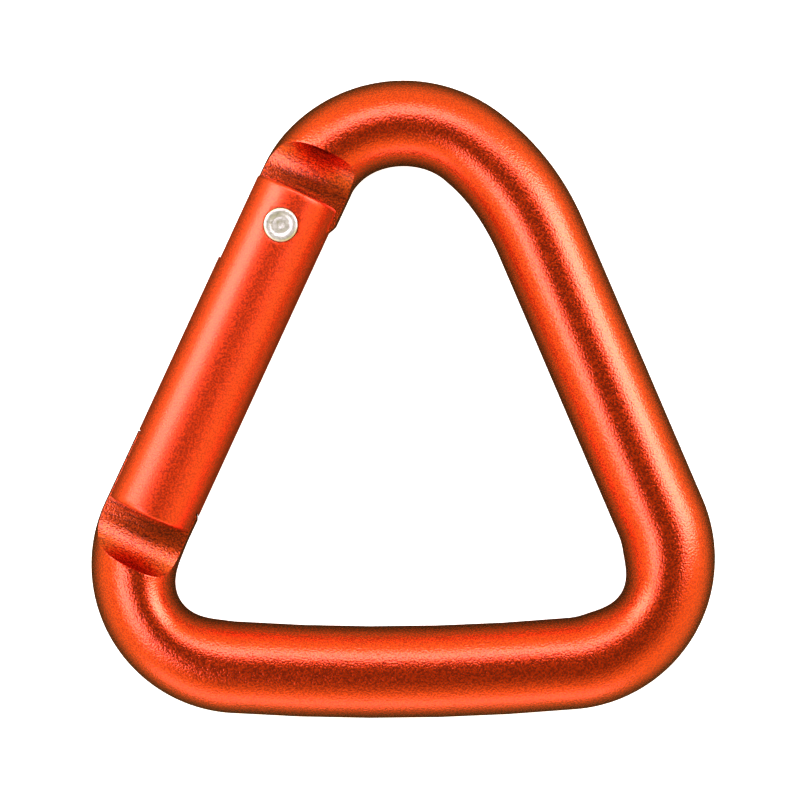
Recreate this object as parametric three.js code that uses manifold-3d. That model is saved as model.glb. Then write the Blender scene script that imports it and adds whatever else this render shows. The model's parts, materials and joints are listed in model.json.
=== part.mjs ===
// Triangular snap hook (key carabiner) in anodised aluminium.
// Millimetres, +Z up. The hook lies flat: its loop is in the XY plane, the gate is on the -X side,
// the narrow crown of the triangle points to +Y, and the lowest rivet head touches Z = 0.
import * as THREE from 'three';
import { mergeVertices } from 'three/addons/utils/BufferGeometryUtils.js';
import Module from 'manifold-3d';

// ---- Driving dimensions: the bent rod ----
const rodDiameter = 8;
const crownRadius = 9.9; // radius of the narrow bend, at the middle of the rod
const crownAngleToSpine = 37; // degrees of crown on the spine's side of the top
const crownAngleToGate = 45; // degrees of crown on the gate's side of the top
const heelRadius = 7.8; // the tighter end of the crown, above the hinge
const hingeInset = 0.162; // the hinge end stands this much further in than the nose end
const shoulderRadius = 19; // the looser curve between the crown and the spine
const spineLean = 23.2; // degrees from +Y of the bar opposite the gate
const sideLean = 25; // degrees from +Y of the rod on the gate's side
const spineLength = 26.6; // straight part of the spine
const spineBendRadius = 9.2;
const noseBendRadius = 9;
const baseBow = 8.9; // degrees that the base bar turns through, bowing outwards
const baseTilt = 0.64; // degrees by which the base rises towards the spine
const crownThinning = 0.52; // how far the inside of each bend is squeezed flat
const spineBendThinning = 0.66;
const noseBendThinning = 1.1;

// ---- Driving dimensions: the hinge and the gate ----
const gateDiameter = 7.9;
const gateTilt = 0.23; // degrees by which the shut gate stands steeper than the rod's side
const pinBelowHeel = 4.211; // rivet centre, down the rod's side from where its curve starts
const pinOutset = 0.282; // rivet centre, outside the rod's middle line
const gateAbovePin = 3.3;
const noseAboveBend = 0.6; // nose end of the gate, above the start of the nose bend
const gateEdgeBreak = 0.3; // chamfer round both ends of the gate
const tongueThickness = 2.3;
const slotWidth = 2.6;
const slotCutterRadius = 10; // saw that cuts both slots of the gate
const hingeSlotOutside = 4.63; // slot floor below the pin, on the gate's outer side
const hingeSlotInside = 2.9; // and on its inner side
const noseSlotOutside = 6.4; // slot floor above the nose end, outer side
const noseSlotInside = 1.65; // and inner side
const noseTongueGap = 0.15; // between the nose tongue and its slot floor
const runOutRadius = 3.5; // hollow left by the cutter where each tongue meets the round rod
const runOutAbovePin = 4; // start of the hollow above the pin
const runOutBelowNose = 1.2; // start of the hollow below the gate's nose end

// ---- Driving dimensions: the rivet, plunger and spring ----
const rivetDiameter = 2.2;
const rivetHeadDiameter = 2.95;
const rivetHeadSunk = 0.4; // depth of the head's seat below the gate's skin
const rivetHeadProud = 0.15; // height of the head above the gate's skin
const rivetEdge = 0.12; // rounding of the head's rim
const rivetFit = 0.05; // radial gap in the gate
const hingeFit = 0.08; // radial gap in the hinge tongue
const boreDiameter = 4.6;
const boreFloor = 2.4; // solid metal between the bore and the nose slot
const plungerFit = 0.07; // radial gap of the plunger in the bore
const plungerGap = 0.1; // between the tongue's foot and the plunger
const plungerHead = 3;
const plungerStem = 2;
const plungerStemDiameter = 2.4;
const plungerEdge = 0.35;
const camReach = 2.6; // foot of the hinge tongue below the pin
const camLift = 1.3; // plunger travel per radian of gate swing
const gateOpening = 45; // degrees
const wireDiameter = 0.45;
const coilDiameter = 3.5; // middle of the wire
const coilTurns = 9;
const springGap = 0.1; // at each end of the spring

// ---- Fineness of the faceted curves ----
const rodSides = 24;
const bendStep = 6; // degrees of bend per facet
const longestStep = 5; // length of the longest facet along a bend
const gateSides = 48;
const rivetSides = 32;
const wireSides = 6;
const stepsPerTurn = 14;

// ---- Worked-out sizes ----
const rad = THREE.MathUtils.degToRad;
const rodRadius = rodDiameter / 2;
const gateRadius = gateDiameter / 2;
const boreRadius = boreDiameter / 2;
const tongueHalf = tongueThickness / 2;
const clearOfRod = rodDiameter; // half the size of a cutting block

const anodised = () => new THREE.MeshStandardMaterial({ color: 0xff4812, roughness: 0.35, metalness: 0.9 });
const steel = () => new THREE.MeshStandardMaterial({ color: 0xd4d2cf, roughness: 0.3, metalness: 1 });

// ---- Solid modelling helpers ----
const wasm = await Module();
wasm.setup();

function solid(geometry, ...matrices) {
  const bare = geometry.clone();
  bare.deleteAttribute('normal');
  bare.deleteAttribute('uv');
  matrices.forEach((matrix) => bare.applyMatrix4(matrix));
  const merged = mergeVertices(bare, 1e-5);
  return new wasm.Manifold(new wasm.Mesh({
    numProp: 3,
    vertProperties: new Float32Array(merged.attributes.position.array),
    triVerts: new Uint32Array(merged.index.array),
  }));
}

function piece(name, shape, material) {
  const { vertProperties, triVerts } = shape.getMesh();
  const geometry = new THREE.BufferGeometry();
  geometry.setAttribute('position', new THREE.BufferAttribute(new Float32Array(vertProperties), 3));
  geometry.setIndex(new THREE.BufferAttribute(new Uint32Array(triVerts), 1));
  geometry.computeVertexNormals();
  const mesh = new THREE.Mesh(geometry, material);
  mesh.name = name;
  return mesh;
}

// A regular polygon whose flats lie on the circle, with flats that face along x and y.
function roundSection(radius, sides) {
  const corner = radius / Math.cos(Math.PI / sides);
  const points = [];
  for (let i = 0; i < sides; i += 1) {
    const angle = ((i + 0.5) * 2 * Math.PI) / sides;
    points.push(new THREE.Vector2(corner * Math.cos(angle), corner * Math.sin(angle)));
  }
  return new THREE.Shape(points);
}

// A flat plate of an outline in x and y, centred on z = 0.
function plate(outline, thickness, curveSegments = 24) {
  const geometry = new THREE.ExtrudeGeometry(outline, { depth: thickness, bevelEnabled: false, curveSegments });
  return geometry.translate(0, 0, -thickness / 2);
}

// A round bar along z.
function bar(radius, length, sides) {
  return plate(roundSection(radius, sides), length);
}

// ---- The rod's middle line, walked clockwise by headings in degrees ----
const spineHeading = -(90 - spineLean);
const baseStart = -180 + baseTilt + baseBow / 2;
const baseEnd = baseStart - baseBow;
const sideHeading = -270 - sideLean;
const crownEnd = -crownAngleToSpine;
const crownStart = -360 + crownAngleToGate;

// Where a bend of radius 1 between two headings leads to.
function bendVector(from, to) {
  return new THREE.Vector2(
    Math.sin(rad(from)) - Math.sin(rad(to)),
    Math.cos(rad(to)) - Math.cos(rad(from)),
  );
}

function headingVector(heading) {
  return new THREE.Vector2(Math.cos(rad(heading)), Math.sin(rad(heading)));
}

// The loop closes on itself, which settles the base bar's radius and the side's length.
const known = new THREE.Vector2()
  .addScaledVector(bendVector(0, crownEnd), crownRadius)
  .addScaledVector(bendVector(crownEnd, spineHeading), shoulderRadius)
  .addScaledVector(headingVector(spineHeading), spineLength)
  .addScaledVector(bendVector(spineHeading, baseStart), spineBendRadius)
  .addScaledVector(bendVector(baseEnd, sideHeading), noseBendRadius)
  .addScaledVector(headingVector(sideHeading - 90), hingeInset)
  .addScaledVector(bendVector(sideHeading, crownStart), heelRadius)
  .addScaledVector(bendVector(crownStart, -360), crownRadius);
const baseVector = bendVector(baseStart, baseEnd);
const sideVector = headingVector(sideHeading);
const det = baseVector.cross(sideVector);
const baseRadius = -known.cross(sideVector) / det;
const sideLength = known.cross(baseVector) / det;

const gateBelowPin = sideLength - pinBelowHeel - noseAboveBend;
const noseEnd = -gateBelowPin;
const boreBottom = noseEnd + noseSlotOutside + boreFloor;
const gateLean = sideLean - gateTilt;

// The rod's ends run past both tongues, which are trimmed out of them.
const hingeStub = pinBelowHeel + camReach + rodRadius;
const noseStub = noseAboveBend + noseSlotOutside + rodRadius;
const heelStart = new THREE.Vector2()
  .addScaledVector(bendVector(sideHeading, crownStart), -heelRadius)
  .addScaledVector(bendVector(crownStart, -360), -crownRadius);
const stations = [];
const bends = [];
const place = heelStart.clone().addScaledVector(sideVector, -hingeStub);

function addStation(heading) {
  stations.push({ point: place.clone(), heading });
}

function straight(heading, length) {
  place.addScaledVector(headingVector(heading), length);
  addStation(heading);
}

// The squeeze of a bend goes from -1 to 1 along it; more evenness keeps it deep for longer.
function bend(from, to, radius, thinning = 0, squeezed = [-1, 1], evenness = 2) {
  const centre = place.clone().add(headingVector(from - 90).multiplyScalar(radius));
  bends.push({ centre, radius, from, to, thinning, squeezed, evenness });
  const arcLength = radius * rad(from - to);
  const steps = Math.ceil(Math.max((from - to) / bendStep, arcLength / longestStep));
  for (let i = 1; i <= steps; i += 1) {
    const heading = from + ((to - from) * i) / steps;
    place.copy(centre).add(headingVector(heading + 90).multiplyScalar(radius));
    addStation(heading);
  }
}

// The heel, the crown and its shoulder towards the spine are squeezed as one long bend.
const squeezeAt = (heading) => (2 * (sideHeading - heading)) / (sideHeading + 360 - spineHeading) - 1;
const crownHeel = squeezeAt(crownStart);
const crownTop = squeezeAt(-360);
const crownFoot = squeezeAt(crownEnd - 360);
addStation(sideHeading);
straight(sideHeading, hingeStub);
bend(sideHeading, crownStart, heelRadius, crownThinning, [-1, crownHeel], 4);
bend(crownStart, -360, crownRadius, crownThinning, [crownHeel, crownTop], 4);
bend(0, crownEnd, crownRadius, crownThinning, [crownTop, crownFoot], 4);
bend(crownEnd, spineHeading, shoulderRadius, crownThinning, [crownFoot, 1], 4);
straight(spineHeading, spineLength);
bend(spineHeading, baseStart, spineBendRadius, spineBendThinning, [-1.25, 1.25]);
bend(baseStart, baseEnd, baseRadius);
bend(baseEnd, sideHeading, noseBendRadius, noseBendThinning);
straight(sideHeading, noseStub);

// A path whose even steps fall on the stations.
class RodPath extends THREE.Curve {
  getPointAt(t) {
    const { point } = stations[Math.round(t * (stations.length - 1))];
    return new THREE.Vector3(point.x, point.y, 0);
  }

  getTangentAt(t) {
    const { heading } = stations[Math.round(t * (stations.length - 1))];
    return new THREE.Vector3(Math.cos(rad(heading)), Math.sin(rad(heading)), 0);
  }
}

// Bending squeezes the rod on the inside of each bend.
function squeezeBends(geometry) {
  const position = geometry.attributes.position;
  const arm = new THREE.Vector2();
  for (let i = 0; i < position.count; i += 1) {
    for (const { centre, radius, from, to, thinning, squeezed, evenness } of bends) {
      arm.set(position.getX(i), position.getY(i)).sub(centre);
      const inward = radius - arm.length();
      const turned = THREE.MathUtils.euclideanModulo(from + 90 - THREE.MathUtils.radToDeg(arm.angle()), 360);
      const share = turned / (from - to);
      if (thinning > 0 && inward > 0 && inward < 1.1 * rodRadius && share <= 1) {
        const through = Math.min(Math.abs(squeezed[0] + (squeezed[1] - squeezed[0]) * share), 1);
        const squeeze = (thinning / rodRadius) * (1 - through ** evenness) ** 3;
        arm.setLength(radius - inward * (1 - squeeze)).add(centre);
        position.setXY(i, arm.x, arm.y);
        break;
      }
    }
  }
  return geometry;
}

function bentRod() {
  const section = roundSection(rodRadius, rodSides);
  const sweep = { extrudePath: new RodPath(), steps: stations.length - 1, bevelEnabled: false };
  return solid(squeezeBends(new THREE.ExtrudeGeometry(section, sweep)));
}

// ---- The gate's frame: x towards the inside of the loop, y up the gate, origin at the pin ----
const pin = heelStart.clone()
  .addScaledVector(sideVector, -pinBelowHeel)
  .addScaledVector(headingVector(sideHeading + 90), pinOutset);
const gateFrame = new THREE.Matrix4()
  .makeRotationZ(-rad(gateLean))
  .setPosition(pin.x, pin.y, 0);

// Centre of a circle of a given radius through two points, on the left of the way from a to b.
function arcCentre(a, b, radius) {
  const way = b.clone().sub(a);
  const middle = a.clone().addScaledVector(way, 0.5);
  const rise = Math.sqrt(radius ** 2 - way.lengthSq() / 4);
  const left = new THREE.Vector2(-way.y, way.x).setLength(rise);
  return middle.add(left);
}

const hingeSlotCentre = arcCentre(
  new THREE.Vector2(-gateRadius, -hingeSlotOutside),
  new THREE.Vector2(gateRadius, -hingeSlotInside),
  slotCutterRadius,
);
const noseSlotCentre = arcCentre(
  new THREE.Vector2(gateRadius, noseEnd + noseSlotInside),
  new THREE.Vector2(-gateRadius, noseEnd + noseSlotOutside),
  slotCutterRadius,
);

// The block above one face of a tongue: flat, then hollowed out to the rod's skin.
// Drawn with x up the gate and y as the height, for a hollow that rises towards +x.
function runOutCutter(start, length) {
  const top = 2 * rodRadius;
  const outline = new THREE.Shape();
  outline.moveTo(start - length, tongueHalf);
  outline.lineTo(start, tongueHalf);
  outline.absarc(start, tongueHalf + runOutRadius, runOutRadius, -Math.PI / 2, 0, false);
  outline.lineTo(start + runOutRadius, top);
  outline.lineTo(start - length, top);
  return plate(outline, 2 * clearOfRod);
}

// Both blocks of a tongue, with the hollow towards +y or -y in the gate's frame.
function tongueCutters(start, length, towards) {
  const upright = new THREE.Matrix4().makeBasis(
    new THREE.Vector3(0, towards, 0),
    new THREE.Vector3(0, 0, 1),
    new THREE.Vector3(towards, 0, 0),
  );
  const underside = new THREE.Matrix4().makeRotationY(Math.PI);
  const block = runOutCutter(start, length);
  return solid(block, upright, gateFrame).add(solid(block, upright, underside, gateFrame));
}

// What is cut away below the hinge tongue. Its foot is flat, then an involute that lifts the
// plunger evenly as the gate swings, then round about the pin so that it clears the slot's floor.
function hingeTrim() {
  const far = 2 * clearOfRod;
  const outline = new THREE.Shape();
  outline.moveTo(-far, -camReach);
  const camPoints = 10;
  for (let i = 0; i <= camPoints; i += 1) {
    const swing = (rad(gateOpening) * i) / camPoints;
    const reach = camReach + camLift * swing;
    const facing = swing - Math.PI / 2;
    outline.lineTo(
      reach * Math.cos(facing) - camLift * Math.sin(facing),
      reach * Math.sin(facing) + camLift * Math.cos(facing),
    );
  }
  const toe = outline.currentPoint.clone();
  const shoulder = rad(14); // where the round part leaves for the rod's inner edge
  outline.absarc(0, 0, toe.length(), toe.angle() - 2 * Math.PI, shoulder, false);
  outline.lineTo(rodRadius + pinOutset, rodRadius / 2);
  outline.lineTo(far, rodRadius / 2);
  outline.lineTo(far, -far);
  outline.lineTo(-far, -far);
  return solid(plate(outline, far), gateFrame);
}

// What is cut away above the nose tongue, so that its tip follows the slot's floor.
function noseTrim() {
  const far = 2 * clearOfRod;
  const radius = slotCutterRadius - noseTongueGap;
  const { x, y } = noseSlotCentre;
  const rightEnd = Math.asin((noseEnd - y) / radius);
  const outline = new THREE.Shape();
  outline.moveTo(far, noseEnd);
  outline.lineTo(x + radius * Math.cos(rightEnd), noseEnd);
  outline.absarc(x, y, radius, rightEnd, rad(110), false);
  outline.lineTo(-far, outline.currentPoint.y);
  outline.lineTo(-far, noseEnd + noseStub + rodRadius);
  outline.lineTo(far, noseEnd + noseStub + rodRadius);
  return solid(plate(outline, far, 48), gateFrame);
}

function makeBody() {
  const hingeCutters = tongueCutters(runOutAbovePin, 2 * clearOfRod, 1);
  const noseCutters = tongueCutters(gateBelowPin + runOutBelowNose, 2 * clearOfRod, -1);
  const rivetHole = solid(bar(rivetDiameter / 2 + hingeFit, rodDiameter, rivetSides), gateFrame);
  return bentRod()
    .subtract(hingeCutters)
    .subtract(noseCutters)
    .subtract(hingeTrim())
    .subtract(noseTrim())
    .subtract(rivetHole);
}

// A ring of revolution about y; the profile starts and ends on the axis.
function turned(profile, sides) {
  const points = profile.map(([radius, height]) => new THREE.Vector2(radius, height));
  return solid(new THREE.LatheGeometry(points, sides));
}

function makeGate() {
  const blank = turned([
    [0, noseEnd],
    [gateRadius - gateEdgeBreak, noseEnd],
    [gateRadius, noseEnd + gateEdgeBreak],
    [gateRadius, gateAbovePin - gateEdgeBreak],
    [gateRadius - gateEdgeBreak, gateAbovePin],
    [0, gateAbovePin],
  ], gateSides);
  const bore = turned([
    [0, boreBottom],
    [boreRadius, boreBottom],
    [boreRadius, gateAbovePin + 1],
    [0, gateAbovePin + 1],
  ], gateSides);
  const saw = bar(slotCutterRadius, slotWidth, 2 * gateSides);
  const move = (centre) => new THREE.Matrix4().makeTranslation(centre.x, centre.y, 0);
  const rivetHole = solid(bar(rivetDiameter / 2 + rivetFit, gateDiameter + 1, rivetSides));
  const seat = gateRadius - rivetHeadSunk;
  const spotFace = bar(rivetHeadDiameter / 2 + rivetFit, 2, rivetSides);
  return blank
    .subtract(bore)
    .subtract(solid(saw, move(hingeSlotCentre)))
    .subtract(solid(saw, move(noseSlotCentre)))
    .subtract(rivetHole)
    .subtract(solid(spotFace, new THREE.Matrix4().makeTranslation(0, 0, seat + 1)))
    .subtract(solid(spotFace, new THREE.Matrix4().makeTranslation(0, 0, -seat - 1)));
}

// The rivet is turned about y, then laid along z.
function makeRivet() {
  const headTop = gateRadius + rivetHeadProud;
  const headFoot = gateRadius - rivetHeadSunk + rivetFit;
  const shank = rivetDiameter / 2;
  const head = rivetHeadDiameter / 2;
  const profile = [
    [0, -headTop],
    [head - rivetEdge, -headTop],
    [head, -headTop + rivetEdge],
    [head, -headFoot],
    [shank, -headFoot],
    [shank, headFoot],
    [head, headFoot],
    [head, headTop - rivetEdge],
    [head - rivetEdge, headTop],
    [0, headTop],
  ];
  const points = profile.map(([radius, height]) => new THREE.Vector2(radius, height));
  return solid(new THREE.LatheGeometry(points, rivetSides), new THREE.Matrix4().makeRotationX(Math.PI / 2));
}

const plungerTop = -camReach - plungerGap;
const plungerShoulder = plungerTop - plungerHead;

function makePlunger() {
  const radius = boreRadius - plungerFit;
  return turned([
    [0, plungerShoulder - plungerStem],
    [plungerStemDiameter / 2, plungerShoulder - plungerStem],
    [plungerStemDiameter / 2, plungerShoulder],
    [radius, plungerShoulder],
    [radius, plungerTop - plungerEdge],
    [radius - plungerEdge, plungerTop],
    [0, plungerTop],
  ], rivetSides);
}

// The spring's wire: a helix about y whose first and last turns lie closed.
class SpringPath extends THREE.Curve {
  getPoint(t, target = new THREE.Vector3()) {
    const foot = boreBottom + springGap + wireDiameter / 2;
    const head = plungerShoulder - springGap - wireDiameter / 2;
    const closed = wireDiameter * 1.15; // rise of each end turn
    const turn = t * coilTurns;
    const pitch = (head - foot - 2 * closed) / (coilTurns - 2);
    const low = Math.min(turn, 1) * closed;
    const middle = THREE.MathUtils.clamp(turn - 1, 0, coilTurns - 2) * pitch;
    const high = Math.max(turn - coilTurns + 1, 0) * closed;
    const angle = turn * 2 * Math.PI;
    const radius = coilDiameter / 2;
    return target.set(radius * Math.cos(angle), foot + low + middle + high, radius * Math.sin(angle));
  }
}

function makeSpring() {
  const section = roundSection(wireDiameter / 2, wireSides);
  const steps = coilTurns * stepsPerTurn;
  return solid(new THREE.ExtrudeGeometry(section, { extrudePath: new SpringPath(), steps, bevelEnabled: false }));
}

// ---- The assembly ----
const hook = new THREE.Group();
const hinge = new THREE.Group();
hinge.position.set(pin.x, pin.y, 0);
hinge.rotation.z = -rad(gateLean);
hinge.add(piece('gate', makeGate(), anodised()));
hinge.add(piece('hinge_rivet', makeRivet(), steel()));
hinge.add(piece('plunger', makePlunger(), steel()));
hinge.add(piece('return_spring', makeSpring(), steel()));
hook.add(piece('body', makeBody(), anodised()));
hook.add(hinge);

// The origin is under the middle of the whole hook.
hook.updateMatrixWorld(true);
const extent = new THREE.Box3().setFromObject(hook, true);
const middle = extent.getCenter(new THREE.Vector3());
hook.position.set(-middle.x, -middle.y, -extent.min.z);

export default hook;
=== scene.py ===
# %% [markdown]
# # A small orange snap hook, modelled and lit in Blender
# The hook is five pieces: a bent rod, a gate, a rivet, and inside the gate a plunger and its spring.
# The simple CAD model says where each piece is and how it moves. This lesson builds a finer piece in
# the place of each CAD node, gives it a finish made of nodes, and lights it as in a small studio.

# %% Load the frame
import math
import json
import bpy
import bmesh
from mathutils import Matrix, Vector


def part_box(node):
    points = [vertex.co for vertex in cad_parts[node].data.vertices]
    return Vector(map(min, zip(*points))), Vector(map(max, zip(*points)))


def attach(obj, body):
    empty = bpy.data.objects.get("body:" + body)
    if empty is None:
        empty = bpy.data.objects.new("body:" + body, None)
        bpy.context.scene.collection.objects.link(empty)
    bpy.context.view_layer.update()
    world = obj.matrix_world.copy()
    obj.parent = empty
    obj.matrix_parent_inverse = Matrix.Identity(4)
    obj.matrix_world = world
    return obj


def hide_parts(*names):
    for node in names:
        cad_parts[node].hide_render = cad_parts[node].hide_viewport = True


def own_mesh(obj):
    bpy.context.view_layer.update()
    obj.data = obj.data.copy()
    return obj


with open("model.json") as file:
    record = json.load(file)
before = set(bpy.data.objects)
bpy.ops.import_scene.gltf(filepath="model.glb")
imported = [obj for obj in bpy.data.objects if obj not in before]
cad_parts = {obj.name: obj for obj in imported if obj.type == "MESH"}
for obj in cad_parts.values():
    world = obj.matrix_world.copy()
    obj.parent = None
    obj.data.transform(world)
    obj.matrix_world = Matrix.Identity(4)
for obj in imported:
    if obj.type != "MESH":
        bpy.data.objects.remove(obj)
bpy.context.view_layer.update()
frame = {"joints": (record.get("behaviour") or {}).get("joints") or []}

# %% [markdown]
# ## Sizes
# A maker starts from a drawing. The sizes below are in millimetres and say the same as the CAD
# drawing: how the rod is bent, where its ends are milled flat, and how the gate sits between them.
# Keeping them together at the top means that each later cell can use a name and not a bare number.

# %% Sizes of the bent rod
ROD_RADIUS = 4.0
CROWN_RADIUS = 9.9
CROWN_TO_SPINE, CROWN_TO_GATE = 37.0, 45.0
SHOULDER_RADIUS, HEEL_RADIUS = 19.0, 7.8
HINGE_INSET = 0.162  # the hinge end stands this much further in than the nose end
SPINE_LEAN, SIDE_LEAN = 23.2, 25.0
SPINE_LENGTH = 26.6
SPINE_BEND_RADIUS, NOSE_BEND_RADIUS = 9.2, 9.0
BASE_BOW, BASE_TILT = 8.9, 0.64
CROWN_THINNING, SPINE_BEND_THINNING, NOSE_BEND_THINNING = 0.52, 0.66, 1.1

# %% Sizes of the gate, rivet, plunger and spring
GATE_RADIUS = 3.95
GATE_TILT = 0.23
PIN_BELOW_HEEL, PIN_OUTSET = 4.211, 0.282
GATE_ABOVE_PIN = 3.3
NOSE_ABOVE_BEND = 0.6
GATE_EDGE = 0.3
TONGUE_HALF = 1.15
SLOT_WIDTH, SAW_RADIUS = 2.6, 10.0
HINGE_SLOT_OUTSIDE, HINGE_SLOT_INSIDE = 4.63, 2.9
NOSE_SLOT_OUTSIDE, NOSE_SLOT_INSIDE = 6.4, 1.65
NOSE_TONGUE_GAP = 0.15
RUN_OUT_RADIUS, RUN_OUT_ABOVE_PIN, RUN_OUT_BELOW_NOSE = 3.5, 4.0, 1.2
RIVET_RADIUS, RIVET_HEAD_RADIUS = 1.1, 1.475
HEAD_SUNK, HEAD_PROUD = 0.4, 0.15
RIVET_FIT, HINGE_FIT = 0.05, 0.08
BORE_RADIUS, BORE_FLOOR = 2.3, 2.4
PLUNGER_FIT, PLUNGER_GAP, PLUNGER_HEAD, PLUNGER_STEM = 0.07, 0.1, 3.0, 2.0
STEM_RADIUS, PLUNGER_EDGE = 1.2, 0.35
CAM_REACH, CAM_LIFT, GATE_OPENING = 2.6, 1.3, 45.0
WIRE_RADIUS, COIL_RADIUS, COIL_TURNS, SPRING_GAP = 0.225, 1.75, 9, 0.1

ROD_SIDES = 72  # flats round the rod: fine enough to look round in a close view
BEND_STEP = 2.0  # degrees of bend for each ring of faces
MM = 0.001  # the frame is in metres
SAME_POINT = 1e-4  # mm, the distance at which two points are one
print(f"rod {2 * ROD_RADIUS} mm, gate {2 * GATE_RADIUS} mm, rivet head {2 * RIVET_HEAD_RADIUS} mm across")


# %% [markdown]
# ## The rod's path
# The real hook starts as a straight rod, bent round formers. Each bend can be drawn as an arc, and a
# walk round the loop is then a list of straight runs and arcs. Walking by headings keeps every joint
# smooth, because each arc starts in the direction in which the last piece ended. Two numbers are not
# chosen but solved: the base bar's radius and the length of the gate side, so that the loop closes.

# %% Close the loop
def heading(degrees):
    """Unit step in a direction; 0 is +X, and the walk goes clockwise."""
    return Vector((math.cos(math.radians(degrees)), math.sin(math.radians(degrees)), 0))


def arc_step(start, end, radius):
    """The step from one end of a clockwise arc to the other."""
    return radius * (heading(start + 90) * -1 + heading(end + 90))


spine_heading = SPINE_LEAN - 90
base_start = BASE_TILT + BASE_BOW / 2 - 180
base_end = base_start - BASE_BOW
side_heading = -270 - SIDE_LEAN
crown_start = CROWN_TO_GATE - 360

known = arc_step(0, -CROWN_TO_SPINE, CROWN_RADIUS)
known += arc_step(-CROWN_TO_SPINE, spine_heading, SHOULDER_RADIUS)
known += SPINE_LENGTH * heading(spine_heading)
known += arc_step(spine_heading, base_start, SPINE_BEND_RADIUS)
known += arc_step(base_end, side_heading, NOSE_BEND_RADIUS)
known += HINGE_INSET * heading(side_heading - 90)
known += arc_step(side_heading, crown_start, HEEL_RADIUS)
known += arc_step(crown_start, -360, CROWN_RADIUS)

base_way, side_way = arc_step(base_start, base_end, 1), heading(side_heading)
closing = Matrix(((base_way.x, side_way.x), (base_way.y, side_way.y))).inverted()
base_radius, side_length = closing @ Vector((-known.x, -known.y))
print(f"base bar radius {base_radius:.1f} mm, gate side {side_length:.2f} mm")

# %% [markdown]
# ## Where the hook stands
# The walk starts at the top of the crown, but the CAD model has its own origin. The gate's hinge is
# known in both: it is a point on the walk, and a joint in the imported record. The step between the two
# carries every drawing to its place. The gate gets its own frame, with the pin at its origin, x
# towards the inside of the loop and y up the gate, because slots and rivet are simplest to say there.

# %% Place the drawing in the frame
heel_start = arc_step(side_heading, crown_start, -HEEL_RADIUS)
heel_start += arc_step(crown_start, -360, -CROWN_RADIUS)
pin_on_walk = heel_start - PIN_BELOW_HEEL * side_way
pin_on_walk += PIN_OUTSET * heading(side_heading + 90)

hinge = next(j for j in frame["joints"] if j["name"] == "gate_hinge")
pin = Vector(hinge["pos_m"]) / MM
place_rod = Matrix.Translation(pin - pin_on_walk)
place_gate = Matrix.Translation(pin) @ Matrix.Rotation(-math.radians(SIDE_LEAN - GATE_TILT), 4, "Z")
gate_below_pin = side_length - PIN_BELOW_HEEL - NOSE_ABOVE_BEND
nose_end = -gate_below_pin
bore_bottom = nose_end + NOSE_SLOT_OUTSIDE + BORE_FLOOR
print("pin at", [round(c, 3) for c in pin], "gate reaches", round(gate_below_pin, 2), "mm below it")


# %% [markdown]
# ## Small tools
# A few helpers serve every piece. A drawing pen makes an outline from straight moves and arcs, by
# extruding and spinning one vertex, so that no lists of points are worked out by hand. Another helper
# closes a mesh, turns its faces outwards and makes it an object. Cutting is a Boolean that keeps the
# cutter's own material, so that milled metal can look different from the rod's etched skin. The last
# two ease sharp edges, and bring a finished piece from millimetres to metres.

# %% A pen for outlines
class Pen:
    """Draws an outline in the XY plane, vertex by vertex, in a bmesh of its own."""

    def __init__(self, x, y):
        self.bm = bmesh.new()
        self.start = self.tip = self.bm.verts.new((x, y, 0))

    def line(self, x, y):
        grown = bmesh.ops.extrude_vert_indiv(self.bm, verts=[self.tip])
        self.tip = grown["verts"][0]
        self.tip.co = (x, y, 0)
        return self

    def arc(self, cx, cy, degrees, steps):
        """Turns the tip about a centre, anticlockwise for positive degrees."""
        turned = bmesh.ops.spin(
            self.bm, geom=[self.tip], cent=(cx, cy, 0), axis=(0, 0, 1),
            angle=math.radians(degrees), steps=steps, use_duplicate=False)
        self.tip = next(v for v in turned["geom_last"] if isinstance(v, bmesh.types.BMVert))
        return self

    def plate(self, thickness):
        """Closes the outline and gives it a thickness, centred on z = 0."""
        bm = self.bm
        if (self.tip.co - self.start.co).length > SAME_POINT:
            bm.edges.new((self.tip, self.start))
        bmesh.ops.remove_doubles(bm, verts=bm.verts[:], dist=SAME_POINT)
        face = bmesh.ops.contextual_create(bm, geom=bm.edges[:])["faces"]
        raised = bmesh.ops.extrude_face_region(bm, geom=face)["geom"]
        top = [v for v in raised if isinstance(v, bmesh.types.BMVert)]
        bmesh.ops.translate(bm, verts=top, vec=(0, 0, thickness))
        bmesh.ops.translate(bm, verts=bm.verts[:], vec=(0, 0, -thickness / 2))
        bmesh.ops.recalc_face_normals(bm, faces=bm.faces[:])
        return bm


# %% Finish a mesh, and cut one piece with another
def turn_into_object(bm, name, place=Matrix(), material=None):
    """A closed mesh with its faces outwards, as an object at the origin, in the mesh's own units."""
    bmesh.ops.remove_doubles(bm, verts=bm.verts[:], dist=SAME_POINT)
    bmesh.ops.recalc_face_normals(bm, faces=bm.faces[:])
    bmesh.ops.transform(bm, matrix=place, verts=bm.verts[:])
    mesh = bpy.data.meshes.new(name)
    bm.to_mesh(mesh)
    bm.free()
    if material:
        mesh.materials.append(material)
    obj = bpy.data.objects.new(name, mesh)
    bpy.context.scene.collection.objects.link(obj)
    return obj


def cut_away(obj, *cutters):
    """Takes each cutter out of obj. The new faces keep the cutter's material."""
    for cutter in cutters:
        boolean = obj.modifiers.new("cut", "BOOLEAN")
        boolean.operation, boolean.object = "DIFFERENCE", cutter
        boolean.solver, boolean.material_mode = "EXACT", "TRANSFER"
    bpy.context.view_layer.update()
    cut = bpy.data.meshes.new_from_object(obj.evaluated_get(bpy.context.evaluated_depsgraph_get()))
    obj.modifiers.clear()
    obj.data = cut
    for cutter in cutters:
        bpy.data.objects.remove(cutter)


def ease_edges(bm, edges, width, segments=2):
    """Breaks sharp edges as a tumbling barrel does."""
    bmesh.ops.bevel(
        bm, geom=edges, offset=width, offset_type="OFFSET", affect="EDGES", segments=segments,
        profile=0.5, material=-1, clamp_overlap=True)


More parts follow.
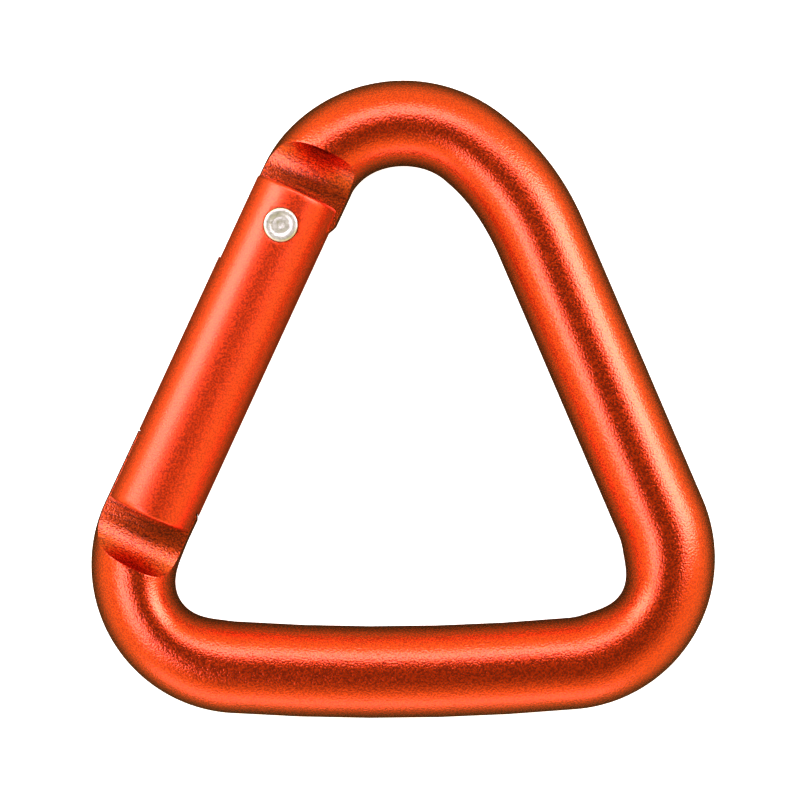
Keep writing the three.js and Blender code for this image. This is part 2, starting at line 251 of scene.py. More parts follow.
def finish_piece(obj, sharp_angle=35.0):
    """To metres, smooth faces with sharp edges kept, and the mesh's place in its vertices."""
    bm = bmesh.new()
    bm.from_mesh(obj.data)
    bmesh.ops.scale(bm, vec=(MM, MM, MM), verts=bm.verts[:])
    for face in bm.faces:
        face.smooth = True
    for edge in bm.edges:
        edge.smooth = len(edge.link_faces) == 2 and edge.calc_face_angle(0) < math.radians(sharp_angle)
    open_edges = sum(1 for edge in bm.edges if len(edge.link_faces) != 2)
    bm.to_mesh(obj.data)
    triangles = sum(len(face.verts) - 2 for face in bm.faces)
    bm.free()
    size = [round(side / MM, 2) for side in obj.dimensions]
    print(f"{obj.name}: {triangles} triangles, {open_edges} open edges, size {size} mm")


# %% [markdown]
# ## Finishes
# The rod and gate are aluminium, etched matt and then anodised: the oxide skin grows as clear pores,
# takes up orange dye and is sealed. Light that goes through the dye comes back orange from the metal,
# and a little comes back white from the top of the skin. A metallic Principled shader with a clear
# coat does the same. The etch leaves grains about 0.15 mm across. An image of grains would need a UV
# map on every piece, so the grain is one noise in Object coordinates. It drives the tint, the roughness
# and a bump together, and the edge of each highlight breaks up into sparkle as on the real rod.

# %% Node helpers
def new_material(name):
    material = bpy.data.materials.new(name)
    material.use_nodes = True
    nodes, links = material.node_tree.nodes, material.node_tree.links
    return material, nodes, links, nodes["Principled BSDF"]


def noise(nodes, links, where, scale, detail=2.0, roughness=0.5):
    """Noise in Object coordinates; scale is features per metre."""
    made = nodes.new("ShaderNodeTexNoise")
    made.inputs["Scale"].default_value = scale
    made.inputs["Detail"].default_value = detail
    made.inputs["Roughness"].default_value = roughness
    links.new(where, made.inputs["Vector"])
    return made.outputs["Fac"]


def weigh_and_add(nodes, links, value, weight, other):
    """value times weight, plus other."""
    made = nodes.new("ShaderNodeMath")
    made.operation = "MULTIPLY_ADD"
    links.new(value, made.inputs[0])
    made.inputs[1].default_value = weight
    links.new(other, made.inputs[2])
    return made.outputs[0]


def spread(nodes, links, value, low, high, to_low, to_high):
    """Carries the range low to high over to another range, and stops at its ends."""
    made = nodes.new("ShaderNodeMapRange")
    links.new(value, made.inputs["Value"])
    for name, number in (("From Min", low), ("From Max", high), ("To Min", to_low), ("To Max", to_high)):
        made.inputs[name].default_value = number
    return made.outputs["Result"]


def bump(nodes, links, height, depth):
    """depth is in metres, from the lowest to the highest point."""
    made = nodes.new("ShaderNodeBump")
    made.inputs["Distance"].default_value = depth
    links.new(height, made.inputs["Height"])
    return made.outputs["Normal"]


def blend(nodes, links, share, first, second):
    """A mix of two colours; a share of 0 gives the first."""
    made = nodes.new("ShaderNodeMix")
    made.data_type = "RGBA"
    made.inputs["A"].default_value, made.inputs["B"].default_value = first, second
    links.new(share, made.inputs["Factor"])
    return made.outputs["Result"]


# %% Anodised skin
ORANGE = (1.0, 0.072, 0.003, 1)
DEEP_ORANGE = (0.60, 0.028, 0.001, 1)
GRAIN_SCALE = 6500.0  # grains per metre
COAT_WEIGHT, COAT_IOR = 0.9, 1.65  # sealed oxide bends light more than varnish does


def oxide_skin(links, shader, surface, coat_roughness):
    """Metal under a clear coat, both with the same uneven surface."""
    links.new(surface, shader.inputs["Normal"])
    links.new(surface, shader.inputs["Coat Normal"])
    for socket, value in (("Metallic", 1.0), ("Coat Weight", COAT_WEIGHT), ("Coat IOR", COAT_IOR),
                          ("Coat Roughness", coat_roughness)):
        shader.inputs[socket].default_value = value


def anodised(name, roughness, grain_depth, coat_roughness):
    material, nodes, links, shader = new_material(name)
    where = nodes.new("ShaderNodeTexCoord").outputs["Object"]
    grain = noise(nodes, links, where, GRAIN_SCALE, 1.0, 0.4)
    hollows = spread(nodes, links, grain, 0.62, 0.38, 0.0, 0.75)
    links.new(blend(nodes, links, hollows, ORANGE, DEEP_ORANGE), shader.inputs["Base Color"])
    links.new(spread(nodes, links, grain, 0.3, 0.7, roughness - 0.04, roughness + 0.06),
              shader.inputs["Roughness"])
    oxide_skin(links, shader, bump(nodes, links, grain, grain_depth), coat_roughness)
    return material


etched_rod = anodised("etched_orange_rod", roughness=0.26, grain_depth=0.000032, coat_roughness=0.20)
etched_gate = anodised("etched_orange_gate", roughness=0.42, grain_depth=0.000013, coat_roughness=0.32)
print(f"grains of {1000 / GRAIN_SCALE:.2f} mm on", etched_rod.name, "and", etched_gate.name)

# %% [markdown]
# ## Milled metal
# A round-nosed cutter makes each tongue flat and leaves a hollow where it runs out of the rod. The
# hook is dyed after milling, so these faces are orange too, but they keep the cutter's fine lines.
# A wave texture could draw the lines, but its bands would be too even. Noise stretched by a Mapping
# node gives lines of uneven depth, and a second noise adds the pits that the etch opens in them.
# Where lines and pits are deep the colour goes to a dark brown. This brown is partly the marks' own
# tone and partly painted shade: it darkens the milled faces to stand in for the dark reflection they show
# from straight above.

# %% Milled orange
MILLED_ORANGE = (0.95, 0.10, 0.006, 1)
# The dark brown is partly the deep marks' own tone and partly painted shade, for the dark reflection that
# the flats show from above.
MILLED_MARKS_AND_PAINTED_SHADE = (0.30, 0.022, 0.003, 1)
LINE_SCALE, LINE_STRETCH, LINE_WEIGHT = 4000.0, 0.06, 0.35
MILLED_DEPTH, MILLED_COAT_ROUGHNESS = 0.000030, 0.22


def milled(name, along):
    """along is the direction, in degrees about Z, in which the cutter's lines run."""
    material, nodes, links, shader = new_material(name)
    where = nodes.new("ShaderNodeTexCoord").outputs["Object"]
    turned = nodes.new("ShaderNodeMapping")
    turned.inputs["Rotation"].default_value = (0, 0, math.radians(-along))
    links.new(where, turned.inputs["Vector"])
    stretched = nodes.new("ShaderNodeMapping")
    stretched.inputs["Scale"].default_value = (LINE_STRETCH, 1.0, 1.0)
    links.new(turned.outputs["Vector"], stretched.inputs["Vector"])
    lines = noise(nodes, links, stretched.outputs["Vector"], LINE_SCALE)
    pits = noise(nodes, links, where, GRAIN_SCALE, 1.0, 0.4)
    marks = weigh_and_add(nodes, links, lines, LINE_WEIGHT, pits)
    # The share of brown follows the marks, and it also darkens every milled face as painted shade.
    marks_and_painted_shade = spread(nodes, links, marks, 0.85, 0.5, 0.0, 1.0)
    links.new(blend(nodes, links, marks_and_painted_shade, MILLED_ORANGE, MILLED_MARKS_AND_PAINTED_SHADE), shader.inputs["Base Color"])
    links.new(spread(nodes, links, lines, 0.3, 0.7, 0.26, 0.36), shader.inputs["Roughness"])
    oxide_skin(links, shader, bump(nodes, links, marks, MILLED_DEPTH), MILLED_COAT_ROUGHNESS)
    return material


milled_orange = milled("milled_orange", along=-(SIDE_LEAN - GATE_TILT))
print(milled_orange.name, "has lines", round(1000 / LINE_SCALE, 2), "mm apart")


# %% [markdown]
# ## Bright metals
# The rivet is bare aluminium. Its heads were formed by a spinning tool, which leaves rings about the
# rivet's own axis. The plunger is turned steel and shows rings about the gate's axis, and the spring
# is drawn wire. One function makes all three: a distance from an axis, through noise, gives rings.

# %% Turned and spun metal
DENT_SCALE, DENT_WEIGHT, DENT_SHADE = 2600.0, 1.4, 0.72


def ringed(name, colour, roughness, place, depth, rings_per_mm=9.0):
    """Bare metal with rings about the z axis of a place given in millimetres."""
    material, nodes, links, shader = new_material(name)
    where = nodes.new("ShaderNodeTexCoord").outputs["Object"]
    centre = nodes.new("ShaderNodeMapping")
    centre.vector_type = "TEXTURE"
    centre.inputs["Location"].default_value = place.to_translation() * MM
    centre.inputs["Rotation"].default_value = place.to_euler()
    links.new(where, centre.inputs["Vector"])
    parts = nodes.new("ShaderNodeSeparateXYZ")
    links.new(centre.outputs["Vector"], parts.inputs[0])
    across = nodes.new("ShaderNodeCombineXYZ")
    links.new(parts.outputs["X"], across.inputs["X"])
    links.new(parts.outputs["Y"], across.inputs["Y"])
    away = nodes.new("ShaderNodeVectorMath")
    away.operation = "LENGTH"
    links.new(across.outputs[0], away.inputs[0])
    ring_place = nodes.new("ShaderNodeCombineXYZ")
    links.new(away.outputs["Value"], ring_place.inputs["X"])
    links.new(parts.outputs["Z"], ring_place.inputs["Z"])
    rings = noise(nodes, links, ring_place.outputs[0], rings_per_mm / MM)
    dents = noise(nodes, links, where, DENT_SCALE, 3.0, 0.6)
    surface = weigh_and_add(nodes, links, dents, DENT_WEIGHT, rings)
    worn = spread(nodes, links, dents, 0.45, 0.75, 0.0, 1.0)
    dull = [DENT_SHADE * c for c in colour]
    links.new(blend(nodes, links, worn, (*colour, 1), (*dull, 1)), shader.inputs["Base Color"])
    links.new(spread(nodes, links, rings, 0.3, 0.7, roughness - 0.08, roughness + 0.1),
              shader.inputs["Roughness"])
    links.new(bump(nodes, links, surface, depth), shader.inputs["Normal"])
    shader.inputs["Metallic"].default_value = 1.0
    return material


upright = Matrix.Translation(pin)
along_gate = place_gate @ Matrix.Rotation(-math.pi / 2, 4, "X")
spun_aluminium = ringed("spun_aluminium", (0.80, 0.80, 0.82), 0.42, upright, 0.00002, 5.0)
turned_steel = ringed("turned_steel", (0.62, 0.61, 0.6), 0.28, along_gate, 0.000004)
drawn_wire = ringed("drawn_wire", (0.5, 0.5, 0.52), 0.3, along_gate, 0.000003)
print("bright metals:", spun_aluminium.name, turned_steel.name, drawn_wire.name)


# %% [markdown]
# ## The bent rod
# The rod could be a curve with a round bevel, but a curve can't show that bending squeezes the metal on
# the inside of each bend. So one ring of edges is spun about the centre of each bend and pulled along
# each straight, just as the rod met its formers. Then the inside of the bends is pressed a little flat.

# %% Sweep a ring round the loop
BEND_SLACK = 0.001  # so that a ring where two bends meet belongs to one of them
NEAR_ROD = 1.1 * ROD_RADIUS  # further in than this from a bend's middle line is another part of the loop


class RodBlank:
    """A rod that grows from its end ring, one straight or one bend at a time."""

    def __init__(self, at, toward):
        self.bm = bmesh.new()
        self.at, self.bends = at.copy(), []
        bmesh.ops.create_circle(self.bm, cap_ends=True, radius=ROD_RADIUS, segments=ROD_SIDES)
        lie_along = heading(toward).to_track_quat("Z", "Y").to_matrix().to_4x4()
        bmesh.ops.transform(self.bm, matrix=Matrix.Translation(at) @ lie_along, verts=self.bm.verts[:])
        self.ring = self.bm.edges[:]

    def straight(self, toward, length, parts=1):
        for _ in range(parts):
            grown = bmesh.ops.extrude_edge_only(self.bm, edges=self.ring)["geom"]
            verts = [g for g in grown if isinstance(g, bmesh.types.BMVert)]
            self.ring = [g for g in grown if isinstance(g, bmesh.types.BMEdge)
                         and all(v in verts for v in g.verts)]
            bmesh.ops.translate(self.bm, verts=verts, vec=heading(toward) * length / parts)
        self.at += heading(toward) * length

    def bend(self, start, end, radius, thinning=0.0, squeezed=(-1, 1), evenness=2):
        """The squeeze goes from -1 to 1; more evenness keeps it deep for longer."""
        centre = self.at + radius * heading(start - 90)
        steps = math.ceil((start - end) / BEND_STEP)
        turned = bmesh.ops.spin(
            self.bm, geom=self.ring, cent=centre, axis=(0, 0, 1),
            angle=-math.radians(start - end), steps=steps, use_duplicate=False)
        self.ring = [g for g in turned["geom_last"] if isinstance(g, bmesh.types.BMEdge)]
        self.bends.append((centre, radius, start, end, thinning, squeezed, evenness))
        self.at = centre + radius * heading(end + 90)

    def press_bends(self):
        """Moves the inner half of each bend towards the rod's middle line."""
        for vert in self.bm.verts:
            for centre, radius, start, end, thinning, squeezed, evenness in self.bends:
                arm = Vector((vert.co.x - centre.x, vert.co.y - centre.y))
                inward = radius - arm.length
                turn = start + 90 - math.degrees(math.atan2(arm.y, arm.x))
                share = ((turn + BEND_SLACK) % 360 - BEND_SLACK) / (start - end)
                if thinning and 0 < inward < NEAR_ROD and share < 1 + BEND_SLACK:
                    through = min(abs(squeezed[0] + (squeezed[1] - squeezed[0]) * share), 1)
                    ease = (1 - through ** evenness) ** 3
                    arm *= (radius - inward * (1 - thinning / ROD_RADIUS * ease)) / arm.length
                    vert.co.x, vert.co.y = centre.x + arm.x, centre.y + arm.y
                    break


# %% Bend the rod
hinge_stub = PIN_BELOW_HEEL + CAM_REACH + ROD_RADIUS
nose_stub = NOSE_ABOVE_BEND + NOSE_SLOT_OUTSIDE + ROD_RADIUS
crown_heel, crown_top, crown_foot = [
    2 * (side_heading - at) / (side_heading + 360 - spine_heading) - 1
    for at in (crown_start, -360, -360 - CROWN_TO_SPINE)]

rod = RodBlank(heel_start - hinge_stub * side_way, side_heading)
rod.straight(side_heading, hinge_stub, 20)
rod.bend(side_heading, crown_start, HEEL_RADIUS, CROWN_THINNING, (-1, crown_heel), 4)
rod.bend(crown_start, -360, CROWN_RADIUS, CROWN_THINNING, (crown_heel, crown_top), 4)
rod.bend(0, -CROWN_TO_SPINE, CROWN_RADIUS, CROWN_THINNING, (crown_top, crown_foot), 4)
rod.bend(-CROWN_TO_SPINE, spine_heading, SHOULDER_RADIUS, CROWN_THINNING, (crown_foot, 1), 4)
rod.straight(spine_heading, SPINE_LENGTH, 12)
rod.bend(spine_heading, base_start, SPINE_BEND_RADIUS, SPINE_BEND_THINNING, (-1.25, 1.25))
rod.bend(base_start, base_end, base_radius)
rod.bend(base_end, side_heading, NOSE_BEND_RADIUS, NOSE_BEND_THINNING)
rod.straight(side_heading, nose_stub, 20)
rod.press_bends()
bmesh.ops.holes_fill(rod.bm, edges=rod.ring)
print("the rod ends at", [round(c, 3) for c in rod.at])
body = turn_into_object(rod.bm, "snap_hook_rod", place_rod, etched_rod)


# %% [markdown]
# ## Milling the rod's ends
# Each end becomes a flat tongue that slides into a slot of the gate. The cutters are drawn once in the
# gate's frame: a block above each face of the tongue that ends in a quarter-round hollow, a trim for
# the foot of the hinge tongue and one for the tip of the nose. The foot is an involute, so that it
# pushes the plunger evenly while the gate swings. Booleans take the cutters out of the rod.

# %% The cutters for both tongues
FAR = 4 * ROD_RADIUS  # well past the rod's skin
TONGUE_ROUND_END = 14  # degrees about the pin, where the hinge tongue's foot runs into the rod's side
NOSE_ROUND_END = 110  # degrees about the saw's centre, where the nose tongue's tip is past the rod


def run_out_block(start, toward, side):
    """Block above (side 1) or below (-1) a tongue; its hollow opens along +y or -y (toward)."""
    foot, top = TONGUE_HALF, 2 * ROD_RADIUS
    pen = Pen(start - FAR, foot).line(start, foot)
    pen.arc(start, foot + RUN_OUT_RADIUS, 90, steps=24)
    bm = pen.line(start + RUN_OUT_RADIUS, top).line(start - FAR, top).plate(FAR)
    up_the_gate = Matrix(((0, 0, toward, 0), (toward, 0, 0, 0), (0, 1, 0, 0), (0, 0, 0, 1)))
    turned_over = Matrix.Rotation(math.pi if side < 0 else 0, 4, "Y")
    return turn_into_object(bm, "run_out_block", place_gate @ turned_over @ up_the_gate, milled_orange)


def hinge_trim():
    """What is cut away round the hinge tongue's foot."""
    pen = Pen(-FAR, -CAM_REACH)
    steps = 16
    for i in range(steps + 1):
        swing = math.radians(GATE_OPENING) * i / steps
        reach, facing = CAM_REACH + CAM_LIFT * swing, swing - math.pi / 2
        pen.line(reach * math.cos(facing) - CAM_LIFT * math.sin(facing),
                 reach * math.sin(facing) + CAM_LIFT * math.cos(facing))
    toe = math.degrees(math.atan2(pen.tip.co.y, pen.tip.co.x))
    pen.arc(0, 0, TONGUE_ROUND_END - toe, steps=24)
    edge = ROD_RADIUS + PIN_OUTSET
    pen.line(edge, ROD_RADIUS / 2).line(FAR, ROD_RADIUS / 2).line(FAR, -FAR).line(-FAR, -FAR)
    return turn_into_object(pen.plate(FAR), "hinge_trim", place_gate, milled_orange)


def arc_centre(ax, ay, bx, by, radius):
    """Centre of a circle through a and b, on the left of the way from a to b."""
    a, b = Vector((ax, ay)), Vector((bx, by))
    way = b - a
    left = Vector((-way.y, way.x)).normalized()
    return (a + b) / 2 + left * math.sqrt(radius ** 2 - way.length_squared / 4)


hinge_saw = arc_centre(-GATE_RADIUS, -HINGE_SLOT_OUTSIDE, GATE_RADIUS, -HINGE_SLOT_INSIDE, SAW_RADIUS)
nose_saw = arc_centre(GATE_RADIUS, nose_end + NOSE_SLOT_INSIDE,
                      -GATE_RADIUS, nose_end + NOSE_SLOT_OUTSIDE, SAW_RADIUS)


def nose_trim():
    """What is cut away round the nose tongue's tip, which follows the gate's slot."""
    radius = SAW_RADIUS - NOSE_TONGUE_GAP
    x, y = nose_saw
    right = math.degrees(math.asin((nose_end - y) / radius))
    pen = Pen(FAR, nose_end).line(x + radius * math.cos(math.radians(right)), nose_end)
    pen.arc(x, y, NOSE_ROUND_END - right, steps=60)
    pen.line(-FAR, pen.tip.co.y)
    top = nose_end + nose_stub + ROD_RADIUS
    return turn_into_object(pen.line(-FAR, top).line(FAR, top).plate(FAR), "nose_trim",
                            place_gate, milled_orange)


def round_bar(radius, length, at, place, sides, material, name):
    """A cutter or blank: a round bar about z, centred on a point."""
    bm = bmesh.new()
    bmesh.ops.create_cone(bm, cap_ends=True, segments=sides, radius1=radius, radius2=radius, depth=length)
    bmesh.ops.translate(bm, verts=bm.verts[:], vec=at)
    return turn_into_object(bm, name, place, material)


# %% Mill the rod
DRILL_SIDES, SPOT_SIDES, SAW_SIDES = 48, 64, 192
nose_start = gate_below_pin + RUN_OUT_BELOW_NOSE
cut_away(
    body,
    run_out_block(RUN_OUT_ABOVE_PIN, 1, 1), run_out_block(RUN_OUT_ABOVE_PIN, 1, -1),
    run_out_block(nose_start, -1, 1), run_out_block(nose_start, -1, -1),
    hinge_trim(), nose_trim(),
    round_bar(RIVET_RADIUS + HINGE_FIT, FAR, (0, 0, 0), place_gate, DRILL_SIDES, milled_orange,
              "rivet_drill"))
print("milled rod:", len(body.data.polygons), "faces,", [m.name for m in body.data.materials])

# %% Ease the milled edges
EDGE_BREAK, SLOT_EDGE_BREAK = 0.07, 0.05
SHARP_CUT = 22.0  # degrees; flatter edges are the sides of a round, and stay


def ease_cut_edges(obj, width, cut_sides):
    """Eases the sharp edges that have this many faces, of their two, made by a cutter."""
    bm = bmesh.new()
    bm.from_mesh(obj.data)
    bmesh.ops.dissolve_degenerate(bm, dist=0.01, edges=bm.edges[:])
    edges = [e for e in bm.edges if len(e.link_faces) == 2
             and math.degrees(e.calc_face_angle(0)) > SHARP_CUT
             and sum(1 for f in e.link_faces if f.material_index) in cut_sides]
    ease_edges(bm, edges, width)
    bm.to_mesh(obj.data)
    bm.free()
    print(len(edges), "edges eased by", width, "mm")


ease_cut_edges(body, EDGE_BREAK, cut_sides=(1, 2))
finish_piece(body)

# %% [markdown]
# ## The gate
# On the real hook the gate is turned from bar, drilled for its spring, slotted at each end with a
# slitting saw and drilled across for the rivet. The same steps work here: a profile is spun about the
# gate's axis, its end edges are bevelled, and the drills and saws are Boolean cutters. A plain cylinder
# would have one long face from end to end, which carries the shading of a hole's edge far along the
# gate, so the side of the profile has many short steps.

# %% Turn the gate
def turned_piece(profile, name, place, material, steps=96, round_over=(), width=0.0):
    """Spins a profile of (radius, height) points about y. round_over lists the points to ease."""
    pen = Pen(*profile[0])
    for radius, height in profile[1:]:
        pen.line(radius, height)
    bm = pen.bm
    bmesh.ops.spin(bm, geom=bm.verts[:] + bm.edges[:], cent=(0, 0, 0), axis=(0, 1, 0),
                   angle=2 * math.pi, steps=steps, use_merge=True, use_duplicate=False)
    bmesh.ops.remove_doubles(bm, verts=bm.verts[:], dist=SAME_POINT)
    if width:
        rims = [e for e in bm.edges if len(e.link_faces) == 2
                and any(abs(v.co.y - height) < SAME_POINT
                        and abs(math.hypot(v.co.x, v.co.z) - radius) < 10 * SAME_POINT
                        for radius, height in round_over for v in e.verts)
                and abs(e.verts[0].co.y - e.verts[1].co.y) < SAME_POINT
                and e.calc_face_angle(0) > math.radians(30)]
        ease_edges(bm, rims, width, segments=3)
    return turn_into_object(bm, name, place, material)


gate_rings = 48  # short faces, so that a drilled hole bends the shading only close to its edge
gate_step = (GATE_ABOVE_PIN - nose_end) / gate_rings
gate_side = [(GATE_RADIUS, nose_end + i * gate_step) for i in range(gate_rings + 1)]
gate = turned_piece(
    [(0, nose_end), *gate_side, (0, GATE_ABOVE_PIN)],
    "gate_bar", place_gate, etched_gate,
    round_over=[(GATE_RADIUS, nose_end), (GATE_RADIUS, GATE_ABOVE_PIN)], width=GATE_EDGE)

# %% Drill, slot and spot-face the gate
bore_length = GATE_ABOVE_PIN + 1 - bore_bottom
bore = turned_piece(
    [(0, bore_bottom), (BORE_RADIUS, bore_bottom), (BORE_RADIUS, bore_bottom + bore_length),
     (0, bore_bottom + bore_length)], "bore_drill", place_gate, milled_orange, steps=64)
spot_depth = 2.0  # of the cutter, most of it outside the gate
seat = GATE_RADIUS - HEAD_SUNK + spot_depth / 2
seat_radius = RIVET_HEAD_RADIUS + RIVET_FIT
cut_away(
    gate, bore,
    *[round_bar(SAW_RADIUS, SLOT_WIDTH, (*centre, 0), place_gate, SAW_SIDES, milled_orange, "slot_saw")
      for centre in (hinge_saw, nose_saw)],
    round_bar(RIVET_RADIUS + RIVET_FIT, FAR, (0, 0, 0), place_gate, DRILL_SIDES, milled_orange,
              "rivet_drill"),
    *[round_bar(seat_radius, spot_depth, (0, 0, z), place_gate, SPOT_SIDES, milled_orange, "spot_face")
      for z in (seat, -seat)])
ease_cut_edges(gate, SLOT_EDGE_BREAK, cut_sides=(1,))
finish_piece(gate)

# %% [markdown]
# ## The rivet
# The rivet's shank is hidden, but both heads show. A spinning tool rolled the end over: it left a raised
# bright rim, a shallow ring and a small domed middle with a dimple where the tool's point ran. A bump
# could draw the rings, but the rim has to catch the light from the side, so all of it is one profile,
# spun about the rivet's axis, with short sloping steps that round the rim.

# %% Spin the rivet
head_top = GATE_RADIUS + HEAD_PROUD
head_foot = GATE_RADIUS - HEAD_SUNK + RIVET_FIT
half_head = [  # radius, height of one head, from its underside to the middle of its face
    (RIVET_HEAD_RADIUS, head_foot), (RIVET_HEAD_RADIUS, head_top - 0.13),
    (RIVET_HEAD_RADIUS - 0.05, head_top - 0.05), (RIVET_HEAD_RADIUS - 0.15, head_top),
    (RIVET_HEAD_RADIUS - 0.45, head_top - 0.02), (0.88, head_top - 0.06), (0.76, head_top - 0.09),
    (0.62, head_top - 0.08), (0.48, head_top - 0.06), (0.34, head_top - 0.06), (0.22, head_top - 0.08),
    (0.12, head_top - 0.10), (0.0, head_top - 0.10)]
rivet_profile = [(r, -z) for r, z in reversed(half_head)]
rivet_profile += [(RIVET_RADIUS, -head_foot), (RIVET_RADIUS, head_foot)] + half_head
rivet = turned_piece(rivet_profile, "hinge_rivet_spun", Matrix.Translation(pin) @ Matrix.Rotation(
    math.pi / 2, 4, "X"), spun_aluminium, steps=64)
finish_piece(rivet, sharp_angle=50)

# %% [markdown]
# ## The plunger
# Inside the gate a small turned plunger rests on the foot of the hinge tongue. Its head slides in the
# bore and its thin stem keeps the spring centred. It is turned on a lathe, so a spun profile makes it
# too. It is hidden inside the gate, but it is part of the hook, so it has its own shape and finish.

# %% Turn the plunger
plunger_top = -CAM_REACH - PLUNGER_GAP
plunger_shoulder = plunger_top - PLUNGER_HEAD
plunger_radius = BORE_RADIUS - PLUNGER_FIT
stem_end = plunger_shoulder - PLUNGER_STEM
plunger = turned_piece(
    [(0, stem_end), (STEM_RADIUS - 0.25, stem_end), (STEM_RADIUS, stem_end + 0.25),
     (STEM_RADIUS, plunger_shoulder), (plunger_radius - 0.1, plunger_shoulder),
     (plunger_radius, plunger_shoulder + 0.1), (plunger_radius, plunger_top - PLUNGER_EDGE),
     (plunger_radius - 0.1, plunger_top - 0.12), (plunger_radius - PLUNGER_EDGE, plunger_top),
     (0, plunger_top)],
    "plunger_turned", place_gate, turned_steel, steps=64)
finish_piece(plunger, sharp_angle=50)

# %% [markdown]
# ## The return spring
# The spring is wound from drawn wire. A curve with a round bevel could make it, but a spin with a rise
# for each step winds a ring of edges just as the wire is wound, and gives one closed mesh at once. The
# first and last turns rise only by about the wire's own thickness, because the real ends are closed.

# %% Wind the spring
spring_foot = bore_bottom + SPRING_GAP + WIRE_RADIUS
spring_head = plunger_shoulder - SPRING_GAP - WIRE_RADIUS
closed_rise = 2 * WIRE_RADIUS * 1.15
open_rise = (spring_head - spring_foot - 2 * closed_rise) / (COIL_TURNS - 2)

bm = bmesh.new()
bmesh.ops.create_circle(bm, cap_ends=True, radius=WIRE_RADIUS, segments=10)
bmesh.ops.translate(bm, verts=bm.verts[:], vec=(COIL_RADIUS, spring_foot, 0))
ring = bm.edges[:]
for rise, turns in ((closed_rise, 1), (open_rise, COIL_TURNS - 2), (closed_rise, 1)):
    steps = 32 * turns
    wound = bmesh.ops.spin(
        bm, geom=ring, cent=(0, 0, 0), axis=(0, 1, 0), dvec=(0, rise * turns / steps, 0),
        angle=2 * math.pi * turns, steps=steps, use_duplicate=False)
    ring = [g for g in wound["geom_last"] if isinstance(g, bmesh.types.BMEdge)]
bmesh.ops.holes_fill(bm, edges=ring)
spring = turn_into_object(bm, "return_spring_coil", place_gate, drawn_wire)
finish_piece(spring, sharp_angle=50)

# %% [markdown]
# ## Hand the pieces to the frame
# Each piece rides on a CAD body, so that it moves as the gate opens. It hides the CAD node that it
# stands for. The spring can't follow the plunger as a rigid piece. Here it rides on the gate, and its
# mesh is copied so that it has one of its own.

# %% Ride and replace
for piece, node, riding, finish in (
        (body, "body", "frame", "anodised_aluminium"),
        (gate, "gate", "gate_arm", "anodised_aluminium"),
        (rivet, "hinge_rivet", "gate_arm", "rivet_aluminium"),
        (plunger, "plunger", "follower", "turned_steel"),
        (spring, "return_spring", "gate_arm", "spring_steel")):
    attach(piece, riding)
    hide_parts(node)
    low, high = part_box(node)
    corners = [Vector(c) for c in piece.bound_box]
    off = max(max(abs(min(c[i] for c in corners) - low[i]), abs(max(c[i] for c in corners) - high[i]))
              for i in range(3))
    print(f"{piece.name} differs from the box of {node} by at most {off / MM:.2f} mm")

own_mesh(spring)

# %% [markdown]
# ## Floor, light and camera
# The hook lies on a plain white floor and is seen from straight above. Round metal shows its lights as
# bands along the bar, so the lights are placed by the reflection that they give: a softbox at a
# certain angle from straight up shows where the metal leans by half that angle. Only a little light
# comes from right above the hook, which leaves the dark band down the middle of each bar.

# %% The floor
bm = bmesh.new()
bmesh.ops.create_grid(bm, x_segments=1, y_segments=1, size=2.0)
floor = turn_into_object(bm, "floor")
white, nodes, links, shader = new_material("white_paper")
where = nodes.new("ShaderNodeTexCoord").outputs["Object"]
paper = noise(nodes, links, where, 900.0, 2.0)
links.new(spread(nodes, links, paper, 0.3, 0.7, 0.85, 0.95), shader.inputs["Roughness"])
shader.inputs["Base Color"].default_value = (0.93, 0.93, 0.93, 1)
shader.inputs["Specular IOR Level"].default_value = 0.1
shader.inputs["Emission Color"].default_value = (1, 1, 1, 1)
shader.inputs["Emission Strength"].default_value = 0.8
floor.data.materials.append(white)
floor.visible_glossy = False
print("floor of", [round(side, 1) for side in floor.dimensions[:2]], "m in", white.name)

# %% Softboxes
DAYLIGHT = (1.0, 0.90, 1.12)
BOX_DISTANCE = 0.3


def softbox(name, azimuth, from_zenith, width, height, radiance):
    """azimuth 0 is +X and 90 is +Y; width runs round the hook, height towards the zenith."""
    lamp = bpy.data.lights.new(name, "AREA")
    lamp.shape, lamp.size, lamp.size_y = "RECTANGLE", width, height
    lamp.energy = radiance * math.pi * width * height
    lamp.color = DAYLIGHT
    box = bpy.data.objects.new(name, lamp)
    a, z = math.radians(azimuth), math.radians(from_zenith)
    toward = Vector((math.cos(a) * math.sin(z), math.sin(a) * math.sin(z), math.cos(z)))
    box.location = toward * BOX_DISTANCE
    box.rotation_euler = toward.to_track_quat("Z", "Y").to_euler()
    box.visible_camera = False
    bpy.context.scene.collection.objects.link(box)
    print(f"{name}: {lamp.energy:.2f} W")


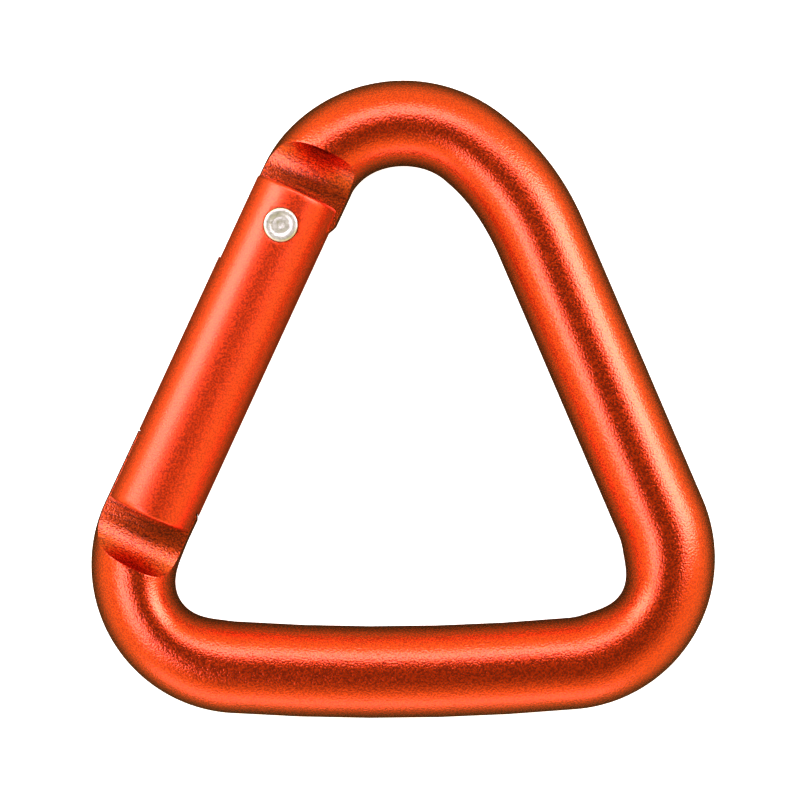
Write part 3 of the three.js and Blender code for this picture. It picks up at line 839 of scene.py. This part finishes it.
softbox("right_box", 22, 54, 0.18, 0.180, 4.6)
softbox("back_box", 90, 40, 0.24, 0.105, 3.2)
softbox("left_back_box", 150, 55, 0.16, 0.190, 3.6)
softbox("left_box", 202, 40, 0.15, 0.130, 3.2)
softbox("front_card", 262, 82, 0.40, 0.120, 0.75)

# %% The room
WARM_WALLS = (1.0, 0.9, 0.3)
world = bpy.data.worlds.new("studio")
bpy.context.scene.world = world
world.use_nodes = True
nodes, links = world.node_tree.nodes, world.node_tree.links
direction = nodes.new("ShaderNodeTexCoord").outputs["Generated"]
split = nodes.new("ShaderNodeSeparateXYZ")
links.new(direction, split.inputs[0])
ramp = nodes.new("ShaderNodeValToRGB")
ramp.color_ramp.interpolation = "EASE"
stops = ((0.0, 0.03), (0.13, 0.12), (0.25, 0.28), (0.33, 0.48), (0.42, 0.7), (0.5, 0.85), (0.75, 0.9),
         (0.88, 0.45), (0.95, 0.22), (1.0, 0.2))
ramp.color_ramp.elements[0].position, ramp.color_ramp.elements[1].position = stops[0][0], stops[-1][0]
for position, _ in stops[1:-1]:
    ramp.color_ramp.elements.new(position)
for element, (_, value) in zip(ramp.color_ramp.elements, stops):
    element.color = (*[value * tone for tone in WARM_WALLS], 1)
links.new(spread(nodes, links, split.outputs["Z"], -1.0, 1.0, 0.0, 1.0), ramp.inputs["Fac"])
links.new(ramp.outputs["Color"], nodes["Background"].inputs["Color"])
print("the room's brightness has", len(ramp.color_ramp.elements), "steps from floor to ceiling")

# %% The camera
FIELD = 0.0699  # width of what the camera sees at the middle of the hook
CAMERA_X, CAMERA_Y, CAMERA_HEIGHT = -0.00028, -0.00008, 0.28
camera_data = bpy.data.cameras.new("camera")
camera_data.sensor_width = 36.0
camera_data.lens = camera_data.sensor_width * (CAMERA_HEIGHT - pin.z * MM) / FIELD
camera_data.clip_start, camera_data.clip_end = 0.01, 10.0
camera = bpy.data.objects.new("camera", camera_data)
camera.location = (CAMERA_X, CAMERA_Y, CAMERA_HEIGHT)
bpy.context.scene.collection.objects.link(camera)
bpy.context.scene.camera = camera
bpy.context.scene.view_settings.view_transform = "Standard"
bpy.context.scene.view_settings.look = "Medium High Contrast"
print(f"camera lens {camera_data.lens:.1f} mm")
